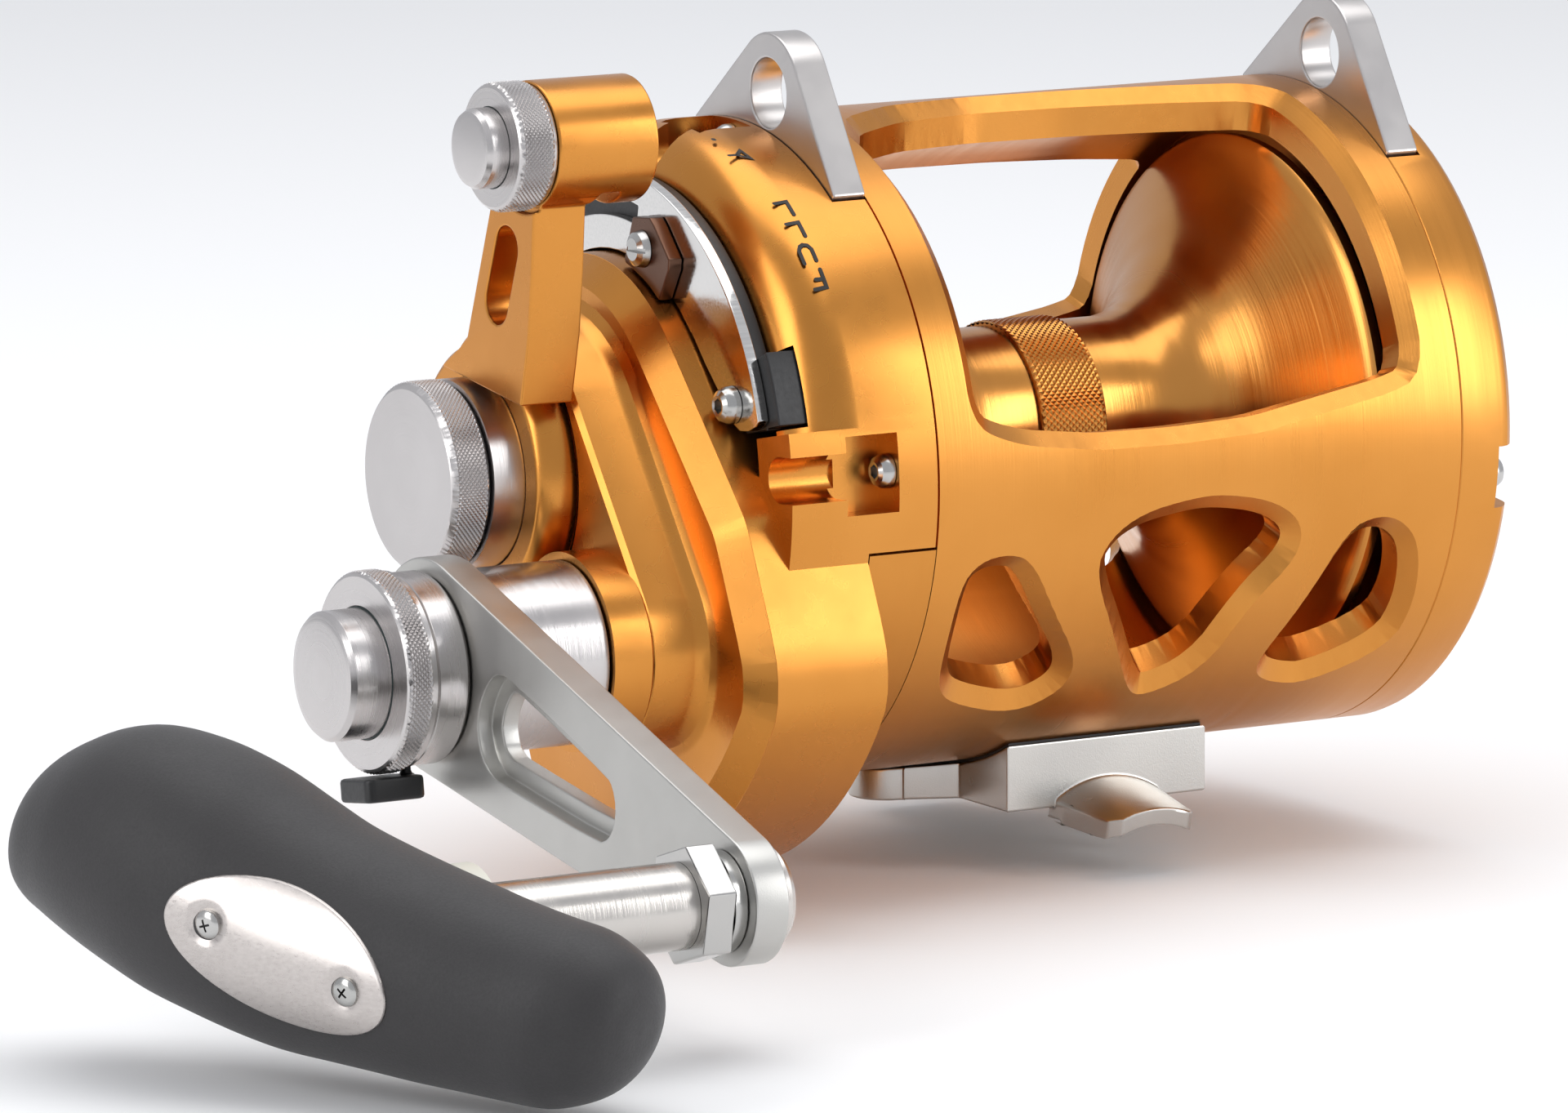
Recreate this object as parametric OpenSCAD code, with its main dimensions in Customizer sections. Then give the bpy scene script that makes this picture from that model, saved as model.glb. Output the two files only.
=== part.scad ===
/* [Frame] */
// Chamfer width round the openings of the frame
edge_c = 2.2; // [1:0.2:2.4]
// Wall thickness of the frame shell
wall_t = 6.5; // [5.5:0.1:6.9]
// Radius of the eye in each harness lug
eye_r = 5; // [4:0.25:5.4]

/* [Foot] */
// Radius of the two clamp stud holes
stud_hole_r = 2.6; // [2.2:0.1:2.9]
// Radius of the rod channel under the foot
seat_r = 13; // [12:0.5:15]

/* [Spool] */
// Radius of the spool arbor
arbor_r = 14.5; // [13:0.25:15]
// Radius of the spool flange rim
flange_r = 39.8; // [38.5:0.1:40.2]
// Depth of the arbor knurl
knurl_d = 0.35; // [0.2:0.05:0.5]

/* [Handle] */
// Distance from the crank axis to the grip axis
crank_len = 84; // [82:0.5:88]
// Thickness of the crank arm
arm_t = 5.1; // [4.5:0.1:5.2]
// Radius of the grip spindle
spindle_r = 5.9; // [5:0.1:6.1]

/* [Drag] */
// Radius of the preset knob
knob_r = 13.8; // [13:0.1:14.2]
// Radius of the lever head
head_r = 9; // [8.5:0.1:9.4]

/* [Hidden] */
$fn = 96;
z_hi = 26;
z_lo = 33;
axis_h = 53;
R = 48;
hy = -26;
hz = -22;
cd = sqrt(hy*hy+hz*hz);
zs = 72;
gm = 2*cd/zs;
in_r = R-wall_t;
py = -109.5;
pz = -42;
gold = [0.87,0.62,0.26];
gold2 = [0.78,0.54,0.2];
silver = [0.76,0.76,0.77];
steel = [0.62,0.63,0.65];
black = [0.12,0.12,0.13];
bronze = [0.34,0.24,0.19];

// Frames of reference: x is counted from the near seam, 44 mm before the middle
function X(x) = x-44;
module S() translate([0,0,axis_h]) children();
module H() translate([0,hy,axis_h+hz]) children();
module at(a) rotate([-a,0,0]) children();
module xc(x0,x1,r) translate([X(x0),0,0]) rotate([0,90,0]) cylinder(h=x1-x0,r=r);
module xring(x0,x1,r,ri) difference() { xc(x0,x1,r); xc(x0-1,x1+1,ri); }
module xrev(P) rotate([0,90,0]) rotate_extrude() polygon([for(p=P) [p[1],X(p[0])]]);
module yz(x0,x1) translate([X(x0),0,0]) rotate([90,0,90]) linear_extrude(x1-x0) children();
module bx(x0,x1,y0,y1,z0,z1) translate([X(x0),y0,z0]) cube([x1-x0,y1-y0,z1-z0]);
function arc(cx,cy,r,a0,a1,n) = [for(i=[0:n]) let(a=a0+(a1-a0)*i/n) [cx+r*cos(a),cy+r*sin(a)]];
function pa(a,r) = [-r*cos(a),r*sin(a)];
function rev(P) = [for(i=[len(P)-1:-1:0]) P[i]];
function dens(P,m) = [for(i=[0:len(P)-1]) let(a=P[i],b=P[(i+1)%len(P)],n=max(1,ceil(norm(b-a)/m))) for(k=[0:n-1]) a+(b-a)*k/n];
function chai(P) = [for(i=[0:len(P)-1]) let(a=P[i],b=P[(i+1)%len(P)]) for(k=[0.25,0.75]) a+(b-a)*k];
function toS(P) = [for(p=P) [p[0],p[1]*R*PI/180]];
function poff(P,d) = [for(i=[0:len(P)-1]) let(a=P[(i+len(P)-1)%len(P)],b=P[(i+1)%len(P)],t=b-a) P[i]+d*[t[1],-t[0]]/norm(t)];
function w3(p,r) = let(a=p[1]*180/(PI*R)) [X(p[0]),-r*cos(a),r*sin(a)];
function mean(P) = [for(k=[0,1]) ([for(p=P) 1]*[for(p=P) p[k]])/len(P)];
// An opening in the shell, with a chamfer that follows the round surface
module port(P,c,ro=90) {
  A = toS(P); n = len(A); I = poff(A,-c); O = poff(A,3); m = mean(A);
  pts = concat([for(p=I) w3(p,36)],[for(p=I) w3(p,R-c)],[for(p=O) w3(p,R+3)],[w3(m,36),w3(m,ro)]);
  f = concat([for(i=[0:n-1]) [3*n,i,(i+1)%n]],
    [for(k=[0,1]) for(i=[0:n-1]) [k*n+i,(k+1)*n+i,(k+1)*n+(i+1)%n]],
    [for(k=[0,1]) for(i=[0:n-1]) [k*n+i,(k+1)*n+(i+1)%n,k*n+(i+1)%n]],
    [for(i=[0:n-1]) [3*n+1,2*n+(i+1)%n,2*n+i]]);
  polyhedron(points=pts,faces=f,convexity=6);
}
// Closed skin through outlines in the (y,z) plane at rising x
module loftx(xs,L) {
  n = len(L[0]); m = len(xs);
  polyhedron(points=[for(k=[0:m-1]) for(p=L[k]) [X(xs[k]),p[0],p[1]]],
    faces=concat([[for(i=[0:n-1]) i]],[[for(i=[0:n-1]) m*n-1-i]],
      [for(k=[0:m-2]) for(i=[0:n-1]) [k*n+i,(k+1)*n+i,(k+1)*n+(i+1)%n]],
      [for(k=[0:m-2]) for(i=[0:n-1]) [k*n+i,(k+1)*n+(i+1)%n,k*n+(i+1)%n]]),convexity=6);
}
function tear_pts(p,r,q,s,n=24) = let(d=norm(q-p),f=atan2(q[1]-p[1],q[0]-p[0]),a=acos((r-s)/d))
  concat(arc(p[0],p[1],r,f+a,f+360-a,n),arc(q[0],q[1],s,f-a,f+a,n));
module pie(a0,a1,r) polygon(concat([[0,0]],[for(i=[0:12]) pa(a0+(a1-a0)*i/12,r)]));
// A spur gear whose tooth 0 points along angle p
module gear(z,m,p,bl=0.92) {
  rp = z*m/2; w = 90/z*bl;
  polygon([for(i=[0:z-1]) for(k=[[-1.42,rp-1.15*m],[-1,rp-0.05*m],[-0.52,rp+0.85*m],[0.52,rp+0.85*m],[1,rp-0.05*m],[1.42,rp-1.15*m]])
    let(a=p+360*i/z+k[0]*w) [k[1]*cos(a),k[1]*sin(a)]]);
}
// Knurl of straight grooves along the axis
module knurl(x0,x1,r,n,d) yz(x0,x1) polygon([for(i=[0:2*n-1]) let(a=180*i/n, q=r-(i%2)*d) [q*cos(a),q*sin(a)]]);
// Round-headed screw along +X with a six-lobe style socket
module bscrew(x,l,hr,hh,sr) {
  difference() {
    xrev([[x,0],[x+hh*0.15,0],[x,hr*0.55],[x+hh*0.18,hr*0.8],[x+hh*0.55,hr*0.97],[x+hh,hr],[x+hh,0]]);
    translate([X(x)-1,0,0]) rotate([0,90,0]) cylinder(h=1+hh*0.6,r=hr*0.42,$fn=6);
  }
  xc(x+hh,x+hh+l,sr);
}

W1 = rev([[12.4,-12.8],[16.3,-14.7],[21.4,-24.7],[28.4,-36.4],[28.4,-43.8],[22.3,-49.5],[10.8,-44.5],[6.3,-40],[4.6,-31.1],[4.6,-17.9],[7.4,-13.7]]);
W2 = rev([[42.1,-6.1],[47.6,-5.9],[56.1,-7.9],[61.4,-12.2],[61.6,-18.3],[55.1,-27.3],[51.3,-42.2],[44,-48.4],[40.2,-46],[33.4,-31.5],[26.9,-17.4],[28.9,-11.6],[34,-7.8]]);
W3 = rev([[74.7,-12.4],[79.2,-14.1],[82.6,-19.1],[84.4,-31.2],[83.3,-40.9],[72.6,-49.8],[66.4,-48.6],[61.6,-45.1],[60.9,-39.4],[64.8,-26.8],[69.4,-14.5]]);
TOP = [[5.6,14],[7,9.8],[10,7.8],[15,6],[27,4.2],[40,4],[54,4.6],[67,7.4],[76,9.3],[80.5,11],[82.2,16],[82.2,30],[82.2,60],[82.2,79],[79,85],[66,88.5],[50,91.5],[34,92.5],[20,89],[9.5,82],[5.6,74],[5.6,40]];
// the rear line opening stops lower, so the rear cross bar keeps its width
TOPR = concat([for(i=[0:11]) TOP[i]],[[82.2,52],[79.4,56.6],[66,59.2],[50,61],[34,61.4],[20,59.6],[9.2,56],[5.6,50],[5.6,32]]);
NEAR_S = [3.5,88,178];
FAR_S = [-7.5,88,178,262];
BRIDGE_S = [[-14,13],[14,-13]];
FOOT_S = [[-12,-15],[12,-15],[-12,15],[12,15]];

module frame() color(gold) S() difference() {
  xc(0,88,R);
  xc(-1,89,in_r);
  for(m=[0,1]) mirror([0,m,0]) {
    port(chai(chai(W1)),edge_c);
    port(chai(chai(W2)),edge_c);
    port(chai(chai(W3)),edge_c);
    port(chai(dens(m==0?TOP:TOPR,7)),edge_c,120);
  }
  for(a=NEAR_S) at(a) translate([0,-44.8,0]) xc(-1,4.2,1.7);
  for(a=FAR_S) at(a) translate([0,-44.8,0]) xc(83.8,89,1.7);
  for(p=FOOT_S) translate([p[0],p[1],-50]) cylinder(h=12,r=2);
}

// Outline of the gear case, in the plane across the spool
CASE = rev(chai(dens(concat([for(i=[0:16]) pa(44+(206-44)*i/16,30)],[[21.5,-31],[15.5,-46],[11.6,-54.5]],
  [for(i=[0:4]) let(a=-99+i*5) pa(a,58.3+0.3*i)],[for(i=[0:9]) pa(-74+i*5,59.7)],
  [[-52.4,-22.5],[-50.8,-18],[-45,-5.2],[-43.6,-2.6],[-41.6,-0.4]]),7)));
function case_k(k) = poff(CASE,-k);
module case_out(k) polygon(case_k(k));
function boss(k) = tear_pts([0,0],22+k,[hy,hz],14.1+k);

module handle_plate() color(gold) S() difference() {
  union() {
    xrev(concat([[0,0],[0,R-0.35],[-0.35,R],[-12.5,R]],[for(i=[1:8]) [-12.5-8.5*sin(i*11.25),39.5+8.5*cos(i*11.25)]],[[-20.6,38.9],[-17,38.4],[-17,0]]));
    // the lower front of the rim keeps its full width
    intersection() { xring(-24,-12,R,39); yz(-25,0) pie(-60,11.5,60); }
    yz(-29,-10.9) case_out(0);
    loftx([-32.5,-28.9],[case_k(3.6),case_k(0)]);
    loftx([-42.3,-41.6,-35.4,-34.2,-33.3,-32.8,-32.4],[boss(-0.7),boss(0),boss(0),boss(0.3),boss(0.9),boss(1.7),boss(2.6)]);
    translate([0,hy,hz]) xc(-48,-42,14.1);
  }
  xc(-10,1,in_r);
  xc(-28.3,-9,16.5);
  translate([0,hy,hz]) { xc(-28.3,-11.4,22.95); xc(-49,-28,9.05); }
  yz(-12,-9) intersection() { circle(in_r-0.6); translate([hy,hz]) circle(22.4); }
  xc(-37,-28,8.05);
  xc(-44,-36,6.3);
  xc(-50,-38.5,20);
  // seat of the flush segment in the rim
  yz(-11.2,1) difference() { pie(-118,-10,70); circle(45); }
  // harness lug seat
  yz(-5.7,1) difference() { pie(53.9,103.6,70); circle(46.62); }
  // end block of the quadrant
  yz(-24.5,-15) difference() { intersection() { pie(12.6,27.6,60); circle(44.95); } circle(36.6); }
  for(a=NEAR_S) at(a) {
    bx(-15,-6.6,-60,-42.2,-5.6,5.6);
    translate([0,-44.8,0]) { xc(-26,-14,3.3); xc(-7,1,1.7); }
    bx(-26,-14,-60,-44.8,-3.3,3.3);
  }
  for(a=[19.8,146]) translate([0,pa(a,35.8)[0],pa(a,35.8)[1]]) xc(-18,-12.2,1.72);
  for(p=BRIDGE_S) translate([0,p[0],p[1]]) xc(-14.2,-9,1.7);
}
module rim_insert() color(gold2) S() yz(-11,-0.15) difference() { intersection() { circle(R); pie(-117.6,-10.5,70); } circle(45.05); }

module far_plate() color(gold) S() difference() {
  xrev([[88,0],[88,R-0.35],[88.35,R],[95.2,R],[96.2,47.75],[97.1,47],[97.8,46],[98,45.2],[98,38],[96.2,36.6],[96.2,15],[98.4,13.6],[98.4,0]]);
  xc(87,92.6,in_r);
  xc(87,95.6,8.05);
  xc(95,96.8,10.2);
  xc(96.7,99,11.05);
  yz(87,93.8) difference() { pie(53.9,103.6,70); circle(46.62); }
  for(a=FAR_S) at(a) {
    bx(94.6,99,-60,-42.2,-4.6,4.6);
    translate([0,-44.8,0]) xc(87,95,1.7);
  }
  at(215) translate([0,-27,0]) xc(90,99,4.1);
}

module foot() color(silver) {
  difference() {
    union() {
      intersection() {
        translate([0,0,0]) linear_extrude(12) {
          square([34,44],center=true);
          for(s=[-1,1]) translate([s*24.3,0]) circle(5.4);
          for(s=[-1,1]) polygon([[s*15,-9.5],[s*24.6,-5.4],[s*24.6,5.4],[s*15,9.5]]);
        }
        union() { cube([34,44,24],center=true); cube([62,30,13],center=true); }
      }
      for(m=[0,1]) mirror([0,m,0]) translate([0,-20,0]) rotate([11.3,0,0]) difference() {
        intersection() {
          translate([0,0,-seat_r+1.6]) rotate([90,0,0]) difference() { cylinder(h=15.4,r=seat_r+2.6); translate([0,0,-1]) cylinder(h=18,r=seat_r); }
          linear_extrude(40,center=true) polygon([[-8.8,1],[8.8,1],[8.7,-4],[7.9,-10],[7.2,-13.6],[5.6,-15.2],[-5.6,-15.2],[-7.2,-13.6],[-7.9,-10],[-8.7,-4]]);
          translate([-20,-30,-8]) cube([40,40,20]);
        }
      }
    }
    S() xc(-30,120,R+0.5);
    translate([0,0,1.6-seat_r]) rotate([90,0,0]) cylinder(h=46,r=seat_r,center=true);
    for(s=[-1,1]) translate([s*24.5,0,-1]) cylinder(h=14,r=stud_hole_r);
    for(p=FOOT_S) translate([p[0],p[1],-1]) { cylinder(h=20,r=2); cylinder(h=4.2,r=3.5); }
  }
}
module foot_gasket() color(black) difference() {
  intersection() { S() difference() { xc(20,70,R+0.5); xc(19,71,R+0.02); } translate([-16.4,-21.4,-1]) cube([32.8,42.8,20]); }
  for(p=FOOT_S) translate([p[0],p[1],-1]) cylinder(h=20,r=2.2);
}
module foot_screws() color(steel) for(p=FOOT_S) translate([p[0],p[1],0]) difference() {
  union() { translate([0,0,0.9]) cylinder(h=2.2,r=3.3); translate([0,0,3]) cylinder(h=9.4,r=1.9); }
  translate([0,0,0]) cylinder(h=2.2,r=1.5,$fn=6);
}

module lug_shape() difference() {
  polygon(concat([pa(103,46.7),pa(103,48.3)],arc(-10.1,52.4,8.7,52,148.3,18),[pa(54.4,48.6),pa(54.4,46.7)],[for(i=[1:15]) pa(54.4+48.6*i/16,46.7)]));
  translate([-10.1,52.4]) circle(eye_r);
}
module lug_near() color(silver) S() yz(-5.5,-0.1) lug_shape();
module lug_far() color(silver) S() yz(88.1,93.5) lug_shape();

module plate_screws_near() color(steel) S() for(a=NEAR_S) at(a) translate([0,-44.8,0]) bscrew(-8.9,10.4,2.5,2.2,1.6);
module plate_screws_far() color(steel) S() mirror([1,0,0]) for(a=FAR_S) at(a) translate([0,-44.8,0]) bscrew(-8.9,10.4,2.5,2.2,1.6);

STRIKE = pa(70,36.3)-[0,2.2];
module quadrant() color([0.8,0.8,0.8]) S() yz(-25.2,-23.5) difference() {
  intersection() { circle(42.1); pie(10,152,60); }
  circle(26.8);
  case_out(-0.4);
  // the front end narrows to a round tip about its screw
  polygon([pa(4,20),pa(62,20),pa(60,27.6),pa(52,28.6),pa(43.3,30.5),pa(33,31),pa(25.3,32.4),[-31.7,11.3],[-33.5,9.4],[-35.6,8.6],[-38,8.9],[-40,9.8],[-41.4,11.4],pa(13,46),pa(4,46)]);
  difference() { intersection() { circle(38); pie(79,142,60); } circle(35.2); }
  translate(STRIKE) circle(1.75);
  for(a=[19.8,146]) translate(pa(a,35.8)) circle(1.7);
}
module quadrant_base() color(black) S() difference() {
  union() {
    yz(-23.4,-17.05) difference() { intersection() { circle(38.2); pie(13,153.5,60); } circle(31); case_out(-0.4); }
    yz(-23.4,-21.1) difference() { intersection() { circle(41.2); pie(13,153.5,60); } circle(31); case_out(-0.4); }
    yz(-23.4,-15.3) difference() { intersection() { circle(44.6); polygon([[0,0],pa(13.2,60),pa(26.9,60)]); } circle(37); }
  }
  for(a=[19.8,146]) translate([0,pa(a,35.8)[0],pa(a,35.8)[1]]) xc(-30,-10,1.7);
  translate([0,STRIKE[0],STRIKE[1]]) xc(-26,-20,1.75);
}
module quadrant_screws() color(steel) S() for(a=[19.8,146]) translate([0,pa(a,35.8)[0],pa(a,35.8)[1]]) bscrew(-27.7,11.5,2.7,2.4,1.6);
module strike_stop() color(bronze) S() difference() {
  yz(-27.5,-25.3) difference() {
    polygon([[-9.6,36.2],[-14.6,36.6],[-15.8,35.6],[-20,31.2],[-19.8,29.6],[-16.8,24.6],[-15.4,24.2],[-7.6,28.6],[-7.2,30]]);
    translate(STRIKE) circle(1.75);
    case_out(-0.35);
  }
}
module strike_screw() color(steel) S() translate([0,STRIKE[0],STRIKE[1]]) difference() {
  union() { xrev([[-29.2,0],[-29.2,1.6],[-28.7,2.4],[-27.6,2.7],[-27.6,0]]); xc(-27.6,-24.2,1.65); }
  bx(-30,-28.4,-4,4,-0.35,0.35);
}
module bridge_plate() color(steel) S() union() {
  translate([0,hy+2,hz+19.6]) xc(-13.3,-9.8,1.2);
  yz(-9.9,-7.4) difference() {
    polygon(tear_pts([0,0],23,[hy,hz],7.1,36));
    circle(9.6);
    translate([hy,hz]) circle(5.1);
    for(p=BRIDGE_S) translate(p) circle(1.7);
  }
}
module bridge_screws() color(steel) S() for(p=BRIDGE_S) translate([0,p[0],p[1]]) { xc(-14,-7.2,1.6); xc(-7.3,-5.4,3); }
module handle_bearings() color(steel) H() { xring(-47.6,-42.6,8.95,6.55); xring(-33.6,-28.6,8.95,6.55); }
module shaft_bearings() color(steel) S() { xring(-36.6,-31.8,7.95,5.05); xring(92.7,95.5,7.95,5.05); }
module spool_shaft() color(steel) S() { xc(-45.2,95.2,4.95); xc(-57,-45,3.2); }
module far_cap() color(gold) S() difference() { union() { xc(96.75,99.6,10.95); xc(95.7,96.8,10.1); } for(s=[-1,1]) translate([0,s*6,0]) xc(98.6,100,1.2); }
module click_button() color(silver) S() at(215) translate([0,-27,0]) { xc(93.2,100.6,4.02); xc(82.4,93.3,2.2); }
module anti_reverse_dog() color(steel) H() yz(-13.2,-11.6) difference() {
  polygon(concat([[-7.6,14.2]],arc(2,19.6,2.6,-74.3,123.9,14),[[-8.6,15.6]]));
  translate([2,19.6]) circle(1.25);
}
function bell(s) = [[43+s*5.5,arbor_r],[43+s*14,arbor_r],[43+s*17.5,arbor_r+0.7],[43+s*21,arbor_r+2.6],[43+s*24.5,arbor_r+6],[43+s*28,arbor_r+10.6],[43+s*31,arbor_r+15.6],[43+s*33.6,arbor_r+20.4],[43+s*35.3,flange_r-1.6],[43+s*35.9,flange_r-0.5],[43+s*36.5,flange_r]];
module spool() color(gold) S() difference() {
  union() {
    xrev(concat([[5.1,0],[5.1,flange_r]],rev(bell(-1)),bell(1),[[80.9,flange_r],[80.9,0]]));
    knurl(37.6,48.2,arbor_r+knurl_d+0.15,72,knurl_d);
  }
  xc(3,8.9,31.5);
  xc(3,83,8.05);
  xc(77,82,30);
}
module drag_washer() color([0.16,0.16,0.17]) S() xring(7,8.85,31,16);
module click_gear() color(steel) S() yz(77.1,79.4) difference() { polygon([for(i=[0:47]) for(k=[[0,25],[0.35,23.4],[0.9,23.4]]) let(a=7.5*(i+k[0])) [k[1]*cos(a),k[1]*sin(a)]]); circle(8.1); }
module spool_bearings() color(steel) S() { xring(12.5,17.5,8,5.05); xring(70,75,8,5.05); }
module pressure_plate() color(steel) S() difference() { union() { xc(3.6,6.9,30.8); xc(-7,3.7,12); } xc(-8,9,5.06); xc(-8,-3.8,9.3); }
module pinion() color(steel) S() difference() {
  union() {
    yz(-19.6,-13.8) gear(z_hi,gm,PA);
    yz(-26.4,-20.2) gear(z_lo,gm,PA);
    xc(-20.4,-3.9,9.2);
    xc(-30.6,-26.2,7.6);
  }
  xc(-32,0,5.06);
}
PA = atan2(hz,hy);
module gear_ring(x0,x1,z,ri) yz(x0,x1) difference() {
  gear(z,gm,PA+180+180/z);
  circle(ri);
  for(i=[0:5]) rotate(i*60) translate([0,(z*gm/2+ri)/2+0.6]) circle((z*gm/2-ri)/3.4);
}
module gear_low() color(steel) H() gear_ring(-26.2,-20.5,zs-z_lo,6.58);
module gear_high() color(steel) H() gear_ring(-19.4,-14,zs-z_hi,6.52);
module ratchet() color(steel) H() yz(-13.4,-11.6) difference() { polygon([for(i=[0:11]) for(k=[[0,13.2],[0.12,10.8],[0.3,10.8]]) let(a=30*(i-k[0])+8) [k[1]*cos(a),k[1]*sin(a)]]); circle(6.52); }
module handle_shaft() color(steel) H() difference() { union() { xc(-77.2,-10.2,6.5); xc(-10.3,-7.5,5); } xc(-100,-17,3.3); }
module crank_sleeve() color(silver) H() xring(-64.95,-48.3,13,6.55);
module crank_arm() color(silver) S() translate([0,hy,hz]) rotate([atan2(pz-hz,py-hy)+180,0,0]) difference() {
  yz(-65-arm_t,-65) difference() {
    polygon(tear_pts([0,0],15.2,[-crank_len,0],8.9,48));
    circle(6.55);
    translate([-crank_len,0]) circle(3.6);
    slot2(2.7);
  }
  yz(-65-arm_t-1,-65-arm_t+2.4) slot2(0);
}
SLOT = [[-15.3,-1],[-15.6,-3.6],[-17.6,-6.6],[-20.5,-7.9],[-23,-8],[-50.8,-5.4],[-53,-4],[-54.1,-1.8],[-54,1],[-52.6,3.3],[-50,4.7],[-23.5,6.9],[-20,6.8],[-17.6,5.2],[-15.9,2]];
module slot2(k) polygon(poff(chai(SLOT),k));
module hub_ring() color(silver) H() difference() {
  xrev([[-70.3,6.55],[-70.3,12.9],[-71,13.5],[-75.2,13.5],[-75.8,12.9],[-75.8,6.55]]);
  rotate([tab_a,0,0]) translate([X(-74.7),0,-20]) cylinder(h=9.5,r=0.85);
}
tab_a = -8;
module handle_nut() color(silver) H() difference() {
  union() { xc(-76.6,-75.9,14); knurl(-80,-76.6,14.3,60,0.45); xc(-80.5,-80,13.7); }
  xc(-82,-77.4,9.3);
  xc(-82,-70,6.55);
}
module shift_button() color(silver) H() union() { xrev([[-79.6,0],[-79.6,9.1],[-85.9,9.1],[-86.6,8.5],[-86.8,7.4],[-86.8,0]]); xc(-79.7,-30,3.2); }
module shift_tab() color(black) H() rotate([tab_a,0,0]) {
  translate([0,0,-17.9]) linear_extrude(3.3) polygon(concat(arc(X(-75.3),3.2,1.4,0,90,6),arc(X(-81.8),3.2,1.4,90,180,6),arc(X(-81.8),-3.2,1.4,180,270,6),arc(X(-75.3),-3.2,1.4,270,360,6)));
  translate([X(-74.7),0,-15]) cylinder(h=4,r=0.75);
}
module spindle() color(silver) S() translate([0,py0,pz0]) { xc(-128.6,-76.85,spindle_r); xc(-77,-64.2,3.5); xrev([[-64.8,0],[-64.8,7],[-63.4,7],[-62.5,6.2],[-61.9,4],[-61.7,0]]); }
dirv = [py-hy,pz-hz]/norm([py-hy,pz-hz]);
py0 = hy+crank_len*dirv[0];
pz0 = hz+crank_len*dirv[1];
module spindle_nut() color(steel) S() translate([0,py0,pz0]) difference() {
  union() { translate([X(-76.8),0,0]) rotate([0,90,0]) rotate(12) cylinder(h=4.4,r=8.5,$fn=6); xc(-72.5,-70.15,7); }
  xc(-79,-69,3.55);
}
// Grip: round sections along its own long axis: place, radius, rise of the middle
gt = 25;
gang = 13.1;
by = 6.6;
bz = 0.8;
ba = 7.8;
BS = [[-16.4,10.8],[-14.4,-10.8]];
GS = [[-40.9,3.4,2.03],[-40.3,5.6,1.93],[-39.3,7.6,1.76],[-37.4,9.5,1.44],[-34.5,11.04,0.99],[-30.5,12.31,0.44],[-25,12.71,-0.14],[-18,13.2,-0.64],[-11,13.86,-1],[-4,14.43,-1.24],[3,15.09,-1.42],[10,15.85,-1.45],[17,16.63,-0.7],[24,17.22,0.35],[31,17.34,1.12],[37,16.76,1.7],[42,15.87,1.9],[46.5,14.48,1.55],[50.5,12.71,0.75],[53.8,10.94,-0.19],[56.2,8.9,-1],[57.6,6.4,-1.5],[58.2,3.2,-1.73]];
module grip_frame() translate([X(-120.8),py0,axis_h+pz0-1.19]) rotate([gang,0,0]) rotate([0,0,gt]) children();
module grip_skin(k=0) rotate([0,0,90]) { n = 32; loftx([for(s=GS) s[0]+44],[for(s=GS) [for(i=[0:n-1]) let(a=360*i/n) [-(s[1]+k)*sin(a),s[2]+(s[1]+k)*cos(a)]]]); }
function ell(a,b) = [for(i=[0:71]) [a*cos(i*5),b*sin(i*5)]];
module badge_blank(x0,x1,a,b) translate([x0,by,bz]) rotate([90,0,90]) linear_extrude(x1-x0) rotate(ba) polygon(ell(a,b));
module badge_hole(x,l,r) for(s=BS) translate([s[0]+x,by+s[1]*cos(ba),bz+s[1]*sin(ba)]) rotate([0,90,0]) cylinder(h=l,r=r);
module grip() color(black) difference() {
  grip_frame() difference() {
    grip_skin();
    difference() { badge_blank(-30,-5,17,8.5); grip_skin(-0.62); }
    badge_hole(0.3,1.2,2.1);
  }
  S() translate([0,py0,pz0]) xc(-129.8,-80,9.05);
}
module grip_bushing() color([0.85,0.84,0.8]) S() translate([0,py0,pz0]) xring(-129.2,-108,9,spindle_r+0.06);
module badge() color(silver) grip_frame() difference() {
  intersection() { badge_blank(-30,-5,16.9,8.4); difference() { grip_skin(0.4); grip_skin(-0.6); } }
  badge_hole(-4,9,2.1);
}
module badge_screws() color(steel) grip_frame() badge_hole(-0.9,2.3,2);

module lever() color(gold) S() difference() {
  union() {
    xrev([[-41.7,0],[-41.7,19],[-43.6,19],[-45.2,18.7],[-46.6,18.1],[-47.5,17.2],[-47.5,0]]);
    yz(-51,-42.6) polygon([[4,15],[-3.2,19.4],[-11.4,41.5],[-14,49],[-26,48],[-23.2,40],[-22.5,31],[-21.4,22],[-19,12]]);
    translate([0,-20,49]) xc(-50,-34,head_r);
  }
  xc(-60,-40,13.75);
  yz(-60,-40) { translate([-12.2,26]) circle(3.1); translate([-15.2,34]) circle(3.1); polygon([[-15.1,24.9],[-9.3,27.1],[-12.3,35.1],[-18.1,32.9]]); }
  translate([0,-20,49]) { xc(-52,-49.95,9.6); xc(-51,-47.4,5.8); xc(-51,-38,4.05); }
  bx(-41.6,-38.4,-30,-12,38,42.2);
}
module lever_collar() color(silver) S() translate([0,-20,49]) difference() { union() { knurl(-55.4,-50.3,9.15,44,0.4); xc(-56,-55.4,8.5); xc(-50.4,-50.05,8.6); } xc(-57,-50,5.75); }
module lever_button() color(silver) S() translate([0,-20,49]) { xrev([[-51,0],[-51,5.65],[-58.6,5.65],[-59.3,5.2],[-59.5,4.4],[-59.5,0]]); xc(-51.1,-41,3.9); }
module preset_knob() color(silver) S() difference() {
  union() { xrev([[-52.6,0],[-52.6,13.2],[-57.6,13.2],[-58.8,12.6],[-58.8,0]]); knurl(-58.2,-52.7,knob_r,64,0.45); }
  xc(-57.4,-52,3.25);
}
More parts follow.
